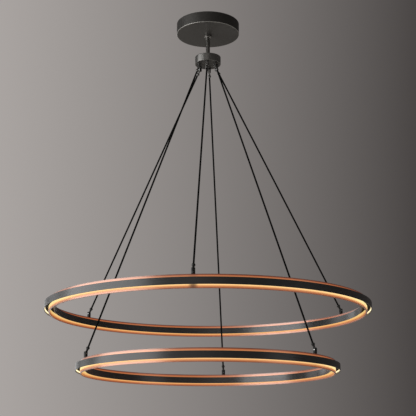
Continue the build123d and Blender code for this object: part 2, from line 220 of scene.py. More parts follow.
copperLook = {
    "deep": (0.15, 0.06, 0.03),
    "bright": (0.24, 0.105, 0.056),
    "rough": 0.3,
    "metal": 0.55,
    "lines": {"fine": 1100.0, "long": 9.0},
    "linesShare": 0.7,
    "linesRough": 0.18,
    "cloud": {"scale": 5.0},
    "cloudRough": 0.1,
    "relief": {"strength": 0.15, "distance": 0.3 * mm},
    "coatOut": 0.62,
    "coatIn": 1.0,
    "coatRough": 0.36,
    "coatIor": 2.1,
    # painted light from the strips on the copper, as its emission: strength, how far past the bands' edges it
    # reaches, its colours and its tint on the inner face
    "glowStrength": 1.18,
    "paintedLightDrop": 1.0 * mm,
    "paintedLightFrom": -10.0 * mm,
    "paintedLightTo": 20.0 * mm,
    "paintedLightStops": [(0.0, (1.0, 0.84, 0.38)), (0.15, (0.97, 0.7, 0.3)), (0.3, (0.84, 0.46, 0.175)),
                  (0.467, (0.45, 0.165, 0.05)), (0.533, (0.4, 0.135, 0.05)), (0.6, (0.33, 0.092, 0.03)),
                  (0.667, (0.17, 0.035, 0.014)), (0.717, (0.05, 0.01, 0.005)),
                  (1.0, (0.02, 0.004, 0.002))],
    "upReach": 0.86,
    "insidePaintedLightTint": (1.0, 0.84, 0.7),
    # painted shade beside the feed, where the strips stop and the painted light is taken out
    "unlit": (0.0, 0.0, 0.0),
    "feedHalf": 2.0 * mm,
    "feedSoft": 24.0 * mm,
    "feedSide": 0.5,
    "feedAbove": 0.35,
}


def copperFinish(name, bandZ, halfTall, middleRadius, feedAngle, feedPaintedShade):
    look = copperLook
    f = Finish(name)
    brush = turningLines(f, **look["lines"])
    cloud = f.noise(**look["cloud"])
    x, y, height = f.axes(f.place)
    radius = (x * x + y * y).maths("SQRT")
    # how far above or below the black bands' edges the painted light from the strips spreads, where they
    # spill out, a little more below
    clear = abs(height - (bandZ - look["paintedLightDrop"])) - halfTall
    # above them the painted light reaches a little further
    clear = clear * f.between(height, bandZ - mm, bandZ + mm, 1.0, look["upReach"])
    paintedSpill = f.between(clear, look["paintedLightFrom"], look["paintedLightTo"], how="LINEAR")
    # the copper's glow is painted light from the strips, not a lamp of its own, tinted on the inner face
    glow = f.node("ShaderNodeValToRGB", {"stops": look["paintedLightStops"]}, {0: paintedSpill})
    glow = f.mix(f.sides(radius, middleRadius, 1.0, 0.0), glow, look["insidePaintedLightTint"], "MULTIPLY")
    # the strips stop on both sides of the feed, so there the painted light is taken out: painted shade
    turn = math.radians(feedAngle)
    along = x * math.cos(turn) + y * math.sin(turn)
    out = x * math.sin(turn) - y * math.cos(turn)
    near = 1.0 - f.between(abs(along), look["feedHalf"], look["feedHalf"] + look["feedSoft"])
    feed = near * f.between(out, 0.0, middleRadius * look["feedSide"])
    feed = feed * f.between(height, bandZ - halfTall, bandZ, 1.0, look["feedAbove"])
    # the painted light goes in as Emission Color, and is taken out beside the feed as painted shade
    f.surface(colour=f.mix(brush.blend(cloud, look["linesShare"]), look["deep"], look["bright"]),
              rough=look["rough"] + brush.swing(look["linesRough"]) + cloud.swing(look["cloudRough"]),
              metal=look["metal"], normal=f.bump(brush, **look["relief"]),
              glow=f.mix(feed * feedPaintedShade, glow, look["unlit"]), glowStrength=look["glowStrength"],
              coat=f.sides(radius, middleRadius, look["coatIn"], look["coatOut"]),
              coatRough=look["coatRough"], coatIor=look["coatIor"])
    return f.material


opalLook = {
    "body": (0.86, 0.84, 0.78),
    "pale": (0.95, 0.94, 0.9),
    "rough": 0.42,
    "shine": 0.15,
    "grain": {"scale": 900.0, "detail": 2.0},
    "grainTone": 0.3,
    "grainRough": 0.1,
    "relief": {"strength": 0.05, "distance": 0.1 * mm},
    "warm": (1.0, 0.8, 0.4),
    "hot": (1.0, 0.92, 0.62),
    "glowStrength": 1.0,
    "ledsPerTurn": 180.0,
    "ledFrom": 0.2,
    "ledTone": 0.6,
    # painted shade: the inner covers' dark colour and dim glow
    "innerPaintedShadeBody": (0.02, 0.019, 0.018),
    "innerPaintedShadeGlow": (0.06, 0.03, 0.012),
}


def opalFinish(name, middleRadius):
    look = opalLook
    f = Finish(name)
    angle, radius = f.around()[:2]
    spots = (angle * look["ledsPerTurn"]).maths("COSINE") * 0.5 + 0.5
    grain = f.noise(**look["grain"])
    glow = f.mix(spots * look["ledTone"] + look["ledFrom"], look["warm"], look["hot"])
    body = f.mix(grain * look["grainTone"], look["body"], look["pale"])
    # the covers inside the copper band are painted dark and glow only dimly: painted shade in the gap inside
    outside = f.sides(radius, middleRadius)
    f.surface(colour=f.mix(outside, look["innerPaintedShadeBody"], body),
              rough=look["rough"] + grain.swing(look["grainRough"]),
              glow=f.mix(outside, look["innerPaintedShadeGlow"], glow), glowStrength=look["glowStrength"],
              specular=look["shine"], normal=f.bump(grain, **look["relief"]))
    return f.material


graphiteLook = {
    "deep": (0.039, 0.0368, 0.0335),
    "bright": (0.067, 0.0634, 0.0578),
    "rough": 0.48,
    "metal": 0.6,
    "lines": {"fine": 1300.0, "long": 1.5},
    "linesShare": 0.6,
    "linesRough": 0.16,
    "cloud": {"scale": 14.0, "detail": 4.0, "rough": 0.6},
    "cloudRough": 0.14,
    "speck": {"scale": 520.0, "detail": 2.0},
    "speckShows": (0.66, 0.72),
    "speckColour": (0.15, 0.145, 0.135),
    "speckTone": 0.25,
    "speckRough": 0.1,
    "reliefShare": 0.8,
    "relief": {"strength": 0.14, "distance": 0.25 * mm},
}
hubLook = {**graphiteLook, "deep": (0.153, 0.149, 0.142), "bright": (0.24, 0.234, 0.223), "rough": 0.33,
           "metal": 0.9}
polishedLook = {**graphiteLook, "deep": (0.17, 0.164, 0.155), "bright": (0.27, 0.261, 0.247), "rough": 0.17,
                "metal": 0.95, "lines": {"fine": 1700.0, "long": 1.0}}
canopyLook = {**graphiteLook, "deep": (0.045, 0.0425, 0.0387), "bright": (0.077, 0.073, 0.0665)}
# painted highlight along the canopy's lower edge, and painted shade on its side wall
paintedRimAndWallLook = {"colour": (0.36, 0.35, 0.33), "wide": 2.4 * mm, "fullShare": 0.3, "smoother": 0.14,
           "wallPaintedShade": (0.64, 0.64, 0.64)}


def graphiteFinish(name, look, rimRadius=None, rimHeight=None):
    f = Finish(name)
    lines = turningLines(f, **look["lines"])
    cloud = f.noise(**look["cloud"])
    speck = f.between(f.noise(**look["speck"]), *look["speckShows"])
    tone = f.mix(lines.blend(cloud, look["linesShare"]), look["deep"], look["bright"])
    tone = f.mix(speck * look["speckTone"], tone, look["speckColour"])
    rough = look["rough"] + lines.swing(look["linesRough"]) + cloud.swing(look["cloudRough"])
    rough = rough + speck * look["speckRough"]
    if rimRadius:
        radius, height = f.around()[1:]
        wide = paintedRimAndWallLook["wide"]
        full = wide * paintedRimAndWallLook["fullShare"]
        # the wall is painted darker than the turned face below it: painted shade
        wall = f.between(height, rimHeight, rimHeight + wide)
        tone = f.mix(wall, tone, paintedRimAndWallLook["wallPaintedShade"], "MULTIPLY")
        # the lower edge is painted lighter as a highlight, and is made smoother
        rim = f.between(radius, rimRadius - wide, rimRadius - full)
        rim = rim * (1.0 - f.between(height, rimHeight + full, rimHeight + wide))
        tone = f.mix(rim, tone, paintedRimAndWallLook["colour"])
        rough = rough - rim * paintedRimAndWallLook["smoother"]
    f.surface(colour=tone, metal=look["metal"], rough=rough,
              normal=f.bump(lines.blend(cloud, look["reliefShare"]), **look["relief"]))
    return f.material


fittingLook = {
    "deep": (0.008, 0.0079, 0.0075),
    "worn": (0.02, 0.0195, 0.0185),
    "rough": 0.5,
    "metal": 0.0,
    "coat": 0.05,
    "coatRough": 0.07,
    "shine": 0.25,
    "peel": {"scale": 420.0},
    "relief": {"strength": 0.06, "distance": 0.2 * mm},
    "dust": {"scale": 90.0, "detail": 5.0, "rough": 0.7},
    "dustShows": (0.56, 0.74),
    "dustTone": 0.35,
    "dustRough": 0.2,
    "dustCoat": 0.4,
}
# a lighter, glossier copy of the fitting finish for the hub's forks and the cables' top terminals: painted
# light for the highlights they show, while the same parts on the rings stay dark
hubFittingLitCopyLook = {**fittingLook, "deep": (0.085, 0.083, 0.078), "worn": (0.14, 0.136, 0.129), "rough": 0.17,
                  "metal": 0.8, "coat": 1.0, "shine": 0.5}


def fittingFinish(name, look):
    f = Finish(name)
    peel = f.noise(**look["peel"])
    dust = f.between(f.noise(**look["dust"]), *look["dustShows"])
    f.surface(colour=f.mix(dust * look["dustTone"], look["deep"], look["worn"]),
              rough=look["rough"] + dust * look["dustRough"], metal=look["metal"],
              coat=look["coat"] * (1.0 - dust * look["dustCoat"]), coatRough=look["coatRough"],
              specular=look["shine"], normal=f.bump(peel, **look["relief"]))
    return f.material


steelLook = {
    "dark": (0.42, 0.42, 0.43),
    "light": (0.66, 0.66, 0.65),
    "rough": 0.3,
    "metal": 1.0,
    "spangleScale": 260.0,
    "spangleShare": 0.6,
    "spangleRough": 0.14,
    "cloud": {"scale": 35.0, "detail": 4.0, "rough": 0.6},
    "cloudRough": 0.2,
    "relief": {"strength": 0.1, "distance": 0.2 * mm},
}


def steelFinish(name):
    look = steelLook
    f = Finish(name)
    spangle = f.node("ShaderNodeTexVoronoi", {}, {"Vector": f.place, "Scale": look["spangleScale"]}, "Color")
    grey = f.node("ShaderNodeRGBToBW", {}, {0: spangle})
    cloud = f.noise(**look["cloud"])
    f.surface(colour=f.mix(grey.blend(cloud, look["spangleShare"]), look["dark"], look["light"]),
              rough=look["rough"] + grey.swing(look["spangleRough"]) + cloud.swing(look["cloudRough"]),
              metal=look["metal"], normal=f.bump(cloud, **look["relief"]))
    return f.material


plasticLook = {
    "grain": {"scale": 1400.0, "detail": 2.0},
    "grainRough": 0.14,
    "cloud": {"scale": 20.0},
    "cloudShare": 0.7,
    "relief": {"strength": 0.12, "distance": 0.15 * mm},
}


def plasticFinish(name, dark, light, rough):
    look = plasticLook
    f = Finish(name)
    grain = f.noise(**look["grain"])
    cloud = f.noise(**look["cloud"])
    f.surface(colour=f.mix(cloud.blend(grain, look["cloudShare"]), dark, light),
              rough=rough + grain.swing(look["grainRough"]), normal=f.bump(grain, **look["relief"]))
    return f.material


tapeLook = {
    "body": (0.82, 0.81, 0.76),
    "pale": (0.9, 0.89, 0.84),
    "chip": (0.85, 0.6, 0.08),
    "chipsPerTurn": 180.0,
    "chipShows": (0.72, 0.78),
    "rough": 0.4,
    "grain": {"scale": 900.0, "detail": 2.0},
    "grainRough": 0.15,
    "relief": {"strength": 0.3, "distance": 0.4 * mm},
}


def tapeFinish(name):
    look = tapeLook
    f = Finish(name)
    angle = f.around()[0]
    step = (angle * look["chipsPerTurn"]).maths("COSINE")
    chip = f.between(step, *look["chipShows"])
    grain = f.noise(**look["grain"])
    f.surface(colour=f.mix(chip, f.mix(grain, look["body"], look["pale"]), look["chip"]),
              rough=look["rough"] + grain * look["grainRough"], normal=f.bump(chip, **look["relief"]))
    return f.material


braidLook = {
    "deep": (0.0008, 0.0008, 0.0008),
    "bright": (0.005, 0.0049, 0.0047),
    "rough": 0.72,
    "shine": 0.03,
    "strands": 8.0,
    "lay": 16.0 * mm,
    "weaveShows": (0.55, 1.0),
    "weaveShare": 0.7,
    "fibre": {"scale": 2600.0, "detail": 2.0},
    "fibreRough": 0.2,
    "reliefShare": 0.85,
    "relief": {"strength": 0.5, "distance": 0.4 * mm},
}


def braidFinish(name):
    look = braidLook
    f = Finish(name)
    angle, radius, height = f.around()
    turns = angle * look["strands"]
    climb = height * (2 * math.pi * look["strands"] / look["lay"])
    right = abs((turns * 0.5 + climb * 0.5).maths("SINE"))
    left = abs((turns * 0.5 - climb * 0.5).maths("SINE"))
    weave = right.maths("MAXIMUM", left)
    fibre = f.noise(**look["fibre"])
    high = f.between(weave, *look["weaveShows"])
    f.surface(colour=f.mix(high.blend(fibre, look["weaveShare"]), look["deep"], look["bright"]),
              rough=look["rough"] + fibre.swing(look["fibreRough"]), specular=look["shine"],
              normal=f.bump(weave.blend(fibre, look["reliefShare"]), **look["relief"]))
    return f.material


print("finishes written")


# Making pieces, in millimetres and degrees

meshSizes = {"join": 0.002, "weld": 0.01, "flatAngle": 0.5, "easeSteps": 3, "easeAngle": 38.0,
             "sharpAngle": 42.0, "flatWeight": 80}


def softened(corners, steps=4):
    # corners are (radius, height, rounding)
    line = []
    for index, (radius, height, rounding) in enumerate(corners):
        here = Vector((radius, height))
        if not rounding:
            line.append(here)
            continue
        before = Vector(corners[index - 1][:2]) - here
        after = Vector(corners[(index + 1) % len(corners)][:2]) - here
        start = here + before.normalized() * rounding
        end = here + after.normalized() * rounding
        for step in range(steps + 1):
            t = step / steps
            line.append(start.lerp(here, t).lerp(here.lerp(end, t), t))
    return line


def turnInto(mesh, corners, segments, first=0.0, sweep=360.0):
    # angles run from the front (-Y) towards +X
    line = softened(corners)
    whole = sweep >= 360.0
    rows = []
    for step in range(segments if whole else segments + 1):
        angle = math.radians(first + sweep * step / segments)
        side, back = math.sin(angle), -math.cos(angle)
        rows.append([mesh.verts.new((p.x * side * mm, p.x * back * mm, p.y * mm)) for p in line])
    nextRows = rows[1:] + rows[:1] if whole else rows[1:]
    for row, after in zip(rows, nextRows):
        for k in range(len(line)):
            j = (k + 1) % len(line)
            mesh.faces.new((row[k], row[j], after[j], after[k]))
    if not whole:
        mesh.faces.new(rows[0])
        mesh.faces.new(rows[-1])


def piece(name, mesh, join=True):
    if join:
        bmesh.ops.remove_doubles(mesh, verts=mesh.verts, dist=meshSizes["join"] * mm)
    bmesh.ops.recalc_face_normals(mesh, faces=mesh.faces)
    data = bpy.data.meshes.new(name)
    mesh.to_mesh(data)
    mesh.free()
    obj = bpy.data.objects.new(name, data)
    bpy.context.scene.collection.objects.link(obj)
    return obj


def turned(name, corners, segments):
    mesh = bmesh.new()
    turnInto(mesh, corners, segments)
    return piece(name, mesh)


def arc(radius, middle, first, last, steps):
    # corners round a ball's side, from one angle above level to another, in radians
    angles = [first + (last - first) * step / steps for step in range(steps + 1)]
    return [(radius * math.cos(angle), middle + radius * math.sin(angle), 0) for angle in angles]


def boxPiece(name, size, middle):
    mesh = bmesh.new()
    bmesh.ops.create_cube(mesh, size=1.0)
    for vert in mesh.verts:
        vert.co = (Vector(middle) + vert.co * Vector(size)) * mm
    return piece(name, mesh)


def platePiece(name, outline, thick):
    # an outline in the upright XZ plane, with half its thickness to each side
    mesh = bmesh.new()
    sides = [[mesh.verts.new((x * mm, y * mm, z * mm)) for x, z in outline] for y in (-thick / 2, thick / 2)]
    for side in sides:
        mesh.faces.new(side)
    front, back = sides
    for k in range(len(outline)):
        j = (k + 1) % len(outline)
        mesh.faces.new((front[k], front[j], back[j], back[k]))
    return piece(name, mesh)


def rodPiece(name, radius, length, place, sides=32):
    mesh = bmesh.new()
    bmesh.ops.create_cone(mesh, cap_ends=True, segments=sides, radius1=radius * mm, radius2=radius * mm,
                          depth=length * mm)
    mesh.transform(place)
    return piece(name, mesh)


def worked(body, edge, joined=(), cut=()):
    # join and cut with other pieces, ease the edges, and give the finished mesh back
    for other, how in [(o, "UNION") for o in joined] + [(o, "DIFFERENCE") for o in cut]:
        tool = body.modifiers.new(how, "BOOLEAN")
        tool.operation = how
        tool.solver = "EXACT"
        tool.object = other
    weld = body.modifiers.new("weld", "WELD")
    weld.merge_threshold = meshSizes["weld"] * mm
    plain = body.modifiers.new("plain", "DECIMATE")
    plain.decimate_type = "DISSOLVE"
    plain.angle_limit = math.radians(meshSizes["flatAngle"])
    ease = body.modifiers.new("ease", "BEVEL")
    ease.width = edge * mm
    ease.segments = meshSizes["easeSteps"]
    ease.limit_method = "ANGLE"
    ease.angle_limit = math.radians(meshSizes["easeAngle"])
    graph = bpy.context.evaluated_depsgraph_get()
    data = bpy.data.meshes.new_from_object(body.evaluated_get(graph))
    for used in (body, *joined, *cut):
        bpy.data.objects.remove(used)
    return data


def copies(name, data, places):
    mesh = bmesh.new()
    for place in places:
        one = data.copy()
        one.transform(place)
        mesh.from_mesh(one)
        bpy.data.meshes.remove(one)
    return piece(name, mesh, join=False)


def finishPiece(obj, material, slotName, body, *nodes):
    obj.data.materials.clear()
    obj.data.materials.append(material)
    obj.data.shade_smooth()
    obj.data.set_sharp_from_angle(angle=math.radians(meshSizes["sharpAngle"]))
    flat = obj.modifiers.new("flat faces", "WEIGHTED_NORMAL")
    flat.keep_sharp = True
    flat.weight = meshSizes["flatWeight"]
    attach(obj, body)
    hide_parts(*nodes)


def move(x, y, z):
    return Matrix.Translation(Vector((x, y, z)) * mm)


def spin(degrees, axis):
    return Matrix.Rotation(math.radians(degrees), 4, axis)


def atAngle(angle):
    return spin(angle - 90.0, "Z")


def spread(count, first):
    return [first + 360.0 * index / count for index in range(count)]


# One finish for each slot of the CAD pieces that show

plastics = {
    "nylon": {"name": "nylonLiner", "dark": (0.68, 0.67, 0.62), "light": (0.78, 0.77, 0.72), "rough": 0.45},
    "driver_case": {"name": "driverCase", "dark": (0.66, 0.66, 0.64), "light": (0.74, 0.74, 0.72),
                    "rough": 0.5},
    "terminal_plastic": {"name": "terminalPlastic", "dark": (0.7, 0.68, 0.6), "light": (0.8, 0.78, 0.7),
                         "rough": 0.4},
    "ground_green": {"name": "groundGreen", "dark": (0.02, 0.2, 0.06), "light": (0.05, 0.32, 0.1),
                     "rough": 0.3},
}
looks = {
    "black_band": blackBandFinish("blackCarrier", carrierLook),
    "led_tape": tapeFinish("ledTape"),
    "cable_braid": braidFinish("cableBraid"),
    "graphite": graphiteFinish("spunGraphite", graphiteLook),
    "black_fitting": fittingFinish("glossBlack", fittingLook),
    "steel": steelFinish("zincSteel"),
}
for slotName, plastic in plastics.items():
    looks[slotName] = plasticFinish(**plastic)
for part in frame["record"]["subparts"]:
    material = looks.get(part["material_slot"])
    if material:
        for place in frame["nodes"][part["node"]].material_slots:
            place.material = material
print("CAD pieces dressed")


# Sizes that several pieces share, in millimetres and degrees

hubBottom = -216.0
ringSizes = {"bandTall": 30.5, "bandThick": 3.0, "gap": 19.0, "coreTall": 58.5, "coreThick": 6.0,
             "bandBelow": 1.0, "edge": 0.5, "coreEdge": 0.7, "segments": 288}
forkSizes = {"radius": 8.5, "tall": 26.0, "chamfer": 1.5, "slotDeep": 16.0, "pinFromEnd": 9.0,
             "pinHole": 2.03, "ringSlot": 5.7, "hubSlot": 9.0, "spigot": 3.0, "spigotLong": 12.0,
             "footEdge": 0.3, "spigotEdge": 0.4, "chamferEdge": 0.7, "endEdge": 0.6, "ease": 0.35,
             "through": 20.0, "segments": 64}
tierSizes = {
    # the last number of each tier is how strong the painted shade on the copper is beside the feed
    "upper": {"outer": 762.0, "bandZ": -1453.0, "firstPost": -4.6, "feedPaintedShade": 0.8},
    "lower": {"outer": 609.5, "bandZ": -1729.0, "firstPost": 52.1, "feedPaintedShade": 0.1},
}
for sizes in tierSizes.values():
    sizes["coreOuter"] = sizes["outer"] - ringSizes["bandThick"] - ringSizes["gap"]
    sizes["innerOuter"] = sizes["coreOuter"] - ringSizes["coreThick"] - ringSizes["gap"]
    sizes["coreZ"] = sizes["bandZ"] + ringSizes["bandBelow"]
    sizes["coreTop"] = sizes["coreZ"] + ringSizes["coreTall"] / 2
    sizes["pinRadius"] = sizes["coreOuter"] - ringSizes["coreThick"] / 2
    sizes["pinZ"] = sizes["coreTop"] + forkSizes["tall"] - forkSizes["pinFromEnd"]


# Cables

cableSizes = {"perTier": 3, "diameter": 8.2, "fromPin": 23.5, "hubPinRadius": 48.0, "hubPinZ": -233.0,
              "roundness": 10}


def posts(tier):
    return spread(cableSizes["perTier"], tierSizes[tier]["firstPost"])


def lean(tier):
    # a cable's angle from upright, and its length from pin to pin
    sizes = tierSizes[tier]
    across = cableSizes["hubPinRadius"] - sizes["pinRadius"]
    rise = cableSizes["hubPinZ"] - sizes["pinZ"]
    return math.degrees(math.atan2(across, rise)), math.hypot(across, rise)


def ringPin(tier, angle):
    sizes = tierSizes[tier]
    return atAngle(angle) @ move(sizes["pinRadius"], 0, sizes["pinZ"]) @ spin(lean(tier)[0], "Y")


def hubPin(tier, angle):
    reach = move(cableSizes["hubPinRadius"], 0, cableSizes["hubPinZ"])
    return atAngle(angle) @ reach @ spin(lean(tier)[0] + 180.0, "Y")


def cable(tier, number, angle):
    name = f"{tier}Cable{number}"
    length = lean(tier)[1] - 2 * cableSizes["fromPin"]
    curve = bpy.data.curves.new(name, "CURVE")
    curve.dimensions = "3D"
    line = curve.splines.new("NURBS")
    line.points.add(1)
    line.points[0].co = (0, 0, 0, 1)
    line.points[1].co = (0, 0, length * mm, 1)
    line.use_endpoint_u = True
    curve.bevel_depth = cableSizes["diameter"] / 2 * mm
    curve.bevel_resolution = cableSizes["roundness"]
    curve.use_fill_caps = True
    obj = bpy.data.objects.new(name, curve)
    bpy.context.scene.collection.objects.link(obj)
    obj.matrix_world = ringPin(tier, angle) @ move(0, 0, cableSizes["fromPin"])
    bpy.context.view_layer.update()
    curve.materials.append(looks["cable_braid"])
    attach(obj, f"{tier}_tier")
    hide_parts(f"{tier}_cable_{number}")


for tier in tierSizes:
    for number, angle in enumerate(posts(tier), 1):
        cable(tier, number, angle)
print("cables hung")


# End fittings of the cables

def forkMesh(slotWide, withSpigot):
    s = forkSizes
    line = [(0, 0, 0)]
    if withSpigot:
        foot = -s["spigotLong"]
        line = [(0, foot, 0), (s["spigot"], foot, s["spigotEdge"]), (s["spigot"], 0, 0)]
    line += [(s["radius"], 0, s["footEdge"]), (s["radius"], s["tall"] - s["chamfer"], s["chamferEdge"]),
             (s["radius"] - s["chamfer"], s["tall"], s["endEdge"]), (0, s["tall"], 0)]
    body = turned("fork", line, s["segments"])
    slot = boxPiece("slot", (s["through"], slotWide, 2 * s["slotDeep"]), (0, 0, s["tall"]))
    pin = move(0, 0, s["tall"] - s["pinFromEnd"]) @ spin(90, "X")
    hole = rodPiece("hole", s["pinHole"], s["through"], pin)
    return worked(body, s["ease"], cut=(slot, hole))


terminalSizes = {"ball": 8.0, "ballFromPin": 26.0, "flatFromBall": 5.5, "eye": 5.0, "tongueTop": 4.2,
                 "tongueThick": 4.5, "sunk": 1.0, "hole": 2.25, "cableHole": 4.13, "seat": 8.0, "neck": 5.0,
                 "neckClear": 0.5, "neckEdge": 0.4, "rimEdge": 0.3, "holeEdge": 0.2, "ease": 0.3,
                 "through": 20.0, "ballSteps": 16, "eyeSteps": 24, "segments": 48}


def terminalMesh(tier):
    s = terminalSizes
    flat = s["ballFromPin"] + s["flatFromBall"]
    rim = math.sqrt(s["ball"] ** 2 - s["flatFromBall"] ** 2)
    # the leaning neck starts just clear of the fork's end
    tilt = math.radians(abs(lean(tier)[0]))
    neckStart = (forkSizes["pinFromEnd"] + s["neckClear"] + s["neck"] * math.sin(tilt)) / math.cos(tilt)
    first = math.asin(s["neck"] / s["ball"]) - math.pi / 2
    last = math.asin(s["flatFromBall"] / s["ball"])
    line = [(0, neckStart, 0), (s["neck"], neckStart, s["neckEdge"])]
    line += arc(s["ball"], s["ballFromPin"], first, last, s["ballSteps"])[:-1]
    line += [(rim, flat, s["rimEdge"]), (s["cableHole"], flat, s["holeEdge"]),
             (s["cableHole"], flat - s["seat"], 0), (0, flat - s["seat"], 0)]
    body = turned("terminal", line, s["segments"])
    top = neckStart + s["sunk"]
    outline = [(s["tongueTop"], top)]
    outline += [corner[:2] for corner in arc(s["eye"], 0, 0, -math.pi, s["eyeSteps"])]
    outline.append((-s["tongueTop"], top))
    tongue = platePiece("tongue", outline, s["tongueThick"])
    hole = rodPiece("hole", s["hole"], s["through"], spin(90, "X"))
    return worked(body, s["ease"], joined=(tongue,), cut=(hole,))


ringForkMesh = forkMesh(forkSizes["ringSlot"], False)
hubForkMesh = forkMesh(forkSizes["hubSlot"], True)
# the lighter copy of the fitting finish, painted light, goes on the fittings at the hub
hubFitting = fittingFinish("glossGraphiteLitCopy", hubFittingLitCopyLook)
underHub = move(cableSizes["hubPinRadius"], 0, hubBottom) @ spin(180, "X")
hubForkPlaces = []
for tier, sizes in tierSizes.items():
    angles = posts(tier)
    body = f"{tier}_tier"
    endMesh = terminalMesh(tier)
    forkPlaces = [atAngle(a) @ move(sizes["pinRadius"], 0, sizes["coreTop"]) for a in angles]
    forks = copies(f"{tier}RingForks", ringForkMesh, forkPlaces)
    finishPiece(forks, looks["black_fitting"], "black_fitting", body, f"{tier}_ring_forks")
    low = copies(f"{tier}BottomTerminals", endMesh, [ringPin(tier, a) for a in angles])
    finishPiece(low, looks["black_fitting"], "black_fitting", body, f"{tier}_bottom_terminals")
    high = copies(f"{tier}TopTerminals", endMesh, [hubPin(tier, a) for a in angles])
    finishPiece(high, hubFitting, "black_fitting", body, f"{tier}_top_terminals")
    hubForkPlaces += [atAngle(a) @ underHub for a in angles]
hubForks = copies("hubForks", hubForkMesh, hubForkPlaces)
finishPiece(hubForks, hubFitting, "black_fitting", "hub", "hub_forks")
print("forks and terminals made")


# Rings

diffuserSizes = {"deep": 2.5, "tall": 6.0, "wall": 0.8, "start": 3.5, "seat": 0.3, "feedGap": 36.0,
                 "crown": 1.2, "insideEdge": 0.5}


def hoop(name, outer, thick, middle, tall, edge):
    half = tall / 2
    return turned(name, [(outer, middle - half, edge), (outer, middle + half, edge),
                         (outer - thick, middle + half, edge), (outer - thick, middle - half, edge)],
                  ringSizes["segments"])


def diffusers(tier, faces, bandZ, feedAngle, radius):
    s = diffuserSizes
    low = s["start"]
    high = low + s["tall"]
    inside = s["deep"] - s["wall"]
    openAngle = math.degrees(s["feedGap"] / radius)
    channel = [(0, low, 0), (s["deep"], low, s["crown"]), (s["deep"], high, s["crown"]), (0, high, 0),
               (0, high - s["wall"], 0), (inside, high - s["wall"], s["insideEdge"]),
               (inside, low + s["wall"], s["insideEdge"]), (0, low + s["wall"], 0)]
    mesh = bmesh.new()
    for face, towardsCore in faces:
        for side in (-1, 1):
            turnInto(mesh, [(face + towardsCore * out, bandZ + side * up, edge) for out, up, edge in channel],
                     ringSizes["segments"], feedAngle + openAngle / 2, 360.0 - openAngle)
    return piece(f"{tier}Diffusers", mesh)


for tier, sizes in tierSizes.items():
    r = ringSizes
    body = f"{tier}_tier"
    outer = sizes["outer"]
    bandZ = sizes["bandZ"]
    halfTall = r["bandTall"] / 2 * mm
    coreOuter = sizes["coreOuter"]
    innerOuter = sizes["innerOuter"]
    black = blackBandFinish(f"{tier}BlackBand", blackBandLook, bandZ * mm, halfTall)
    innerBlack = blackBandFinish(f"{tier}InnerBlackBand", innerBandLook, bandZ * mm, halfTall)
    # the copper finish carries painted light from the strips as its emission
    copper = copperFinish(f"{tier}Copper", bandZ * mm, halfTall, sizes["pinRadius"] * mm, sizes["firstPost"],
                          sizes["feedPaintedShade"])
    band = hoop(f"{tier}OuterBand", outer, r["bandThick"], bandZ, r["bandTall"], r["edge"])
    finishPiece(band, black, "black_band", body, f"{tier}_outer_band")
    band = hoop(f"{tier}InnerBand", innerOuter, r["bandThick"], bandZ, r["bandTall"], r["edge"])
    finishPiece(band, innerBlack, "black_band", body, f"{tier}_inner_band")
    core = hoop(f"{tier}Core", coreOuter, r["coreThick"], sizes["coreZ"], r["coreTall"], r["coreEdge"])
    finishPiece(core, copper, "copper", body, f"{tier}_core_band")
    seat = diffuserSizes["seat"]
    faces = ((outer - r["bandThick"] - seat, -1), (innerOuter + seat, 1))
    light = diffusers(tier, faces, bandZ, sizes["firstPost"], sizes["pinRadius"])
    opal = opalFinish(f"{tier}Opal", sizes["pinRadius"] * mm)
    finishPiece(light, opal, "opal", body, f"{tier}_diffusers")
print("rings made")


# Canopy, swivel, stem and hub

canopySizes = {"outer": 156.5, "tall": 55.5, "wall": 1.5, "hole": 15.6, "edge": 1.6, "topEdge": 0.3,
               "holeEdge": 0.4, "insideEdge": 0.8, "segments": 256}


def canopy():
    s = canopySizes
    low = -s["tall"]
    inside = s["outer"] - s["wall"]
    line = [(s["outer"], 0, s["topEdge"]), (s["outer"], low, s["edge"]), (s["hole"], low, s["holeEdge"]),
            (s["hole"], low + s["wall"], 0), (inside, low + s["wall"], s["insideEdge"]),
            (inside, 0, s["topEdge"])]
    return turned("canopyCover", line, s["segments"])


swivelSizes = {"ballZ": -60.0, "ball": 12.0, "socket": 13.3, "cap": 17.93, "capInside": 15.53,
               "capBottom": -69.75, "mouth": 50.0, "neck": 4.8, "neckBottom": -100.5, "wire": 2.5,
               "seatEdge": 0.3, "capEdge": 2.2, "mouthEdge": 0.4, "neckEdge": 0.4, "socketSteps": 6,
               "ballSteps": 24, "capSegments": 96, "ballSegments": 72}


def swivelCap():
    s = swivelSizes
    seat = -canopySizes["tall"]
    opening = math.radians(s["mouth"])
    mouth = (s["ballZ"] - s["capBottom"]) * math.tan(opening)
    line = [(s["cap"], seat, s["seatEdge"]), (s["cap"], s["capBottom"], s["capEdge"]),
            (mouth, s["capBottom"], s["mouthEdge"])]
    line += arc(s["socket"], s["ballZ"], opening - math.pi / 2, 0, s["socketSteps"])
    line += [(s["capInside"], s["ballZ"], 0), (s["capInside"], seat, 0)]
    return turned("swivelCap", line, s["capSegments"])


def swivelBall():
    s = swivelSizes
    first = math.acos(s["wire"] / s["ball"])
    last = -math.acos(s["neck"] / s["ball"])
    line = arc(s["ball"], s["ballZ"], first, last, s["ballSteps"])
    line += [(s["neck"], s["neckBottom"], s["neckEdge"]), (s["wire"], s["neckBottom"], 0)]
    return turned("swivelBall", line, s["ballSegments"])


stemSizes = {"ring": 12.5, "ringTop": -76.5, "top": -82.5, "tube": 10.25, "spigot": 8.0, "bore": 6.0,
             "hubTop": -178.0, "bottom": -192.5, "neckHole": 4.83, "ringEdge": 1.0, "ringHoleEdge": 0.4,
             "topEdge": 0.6, "hubEdge": 0.3, "spigotEdge": 0.5, "segments": 96}


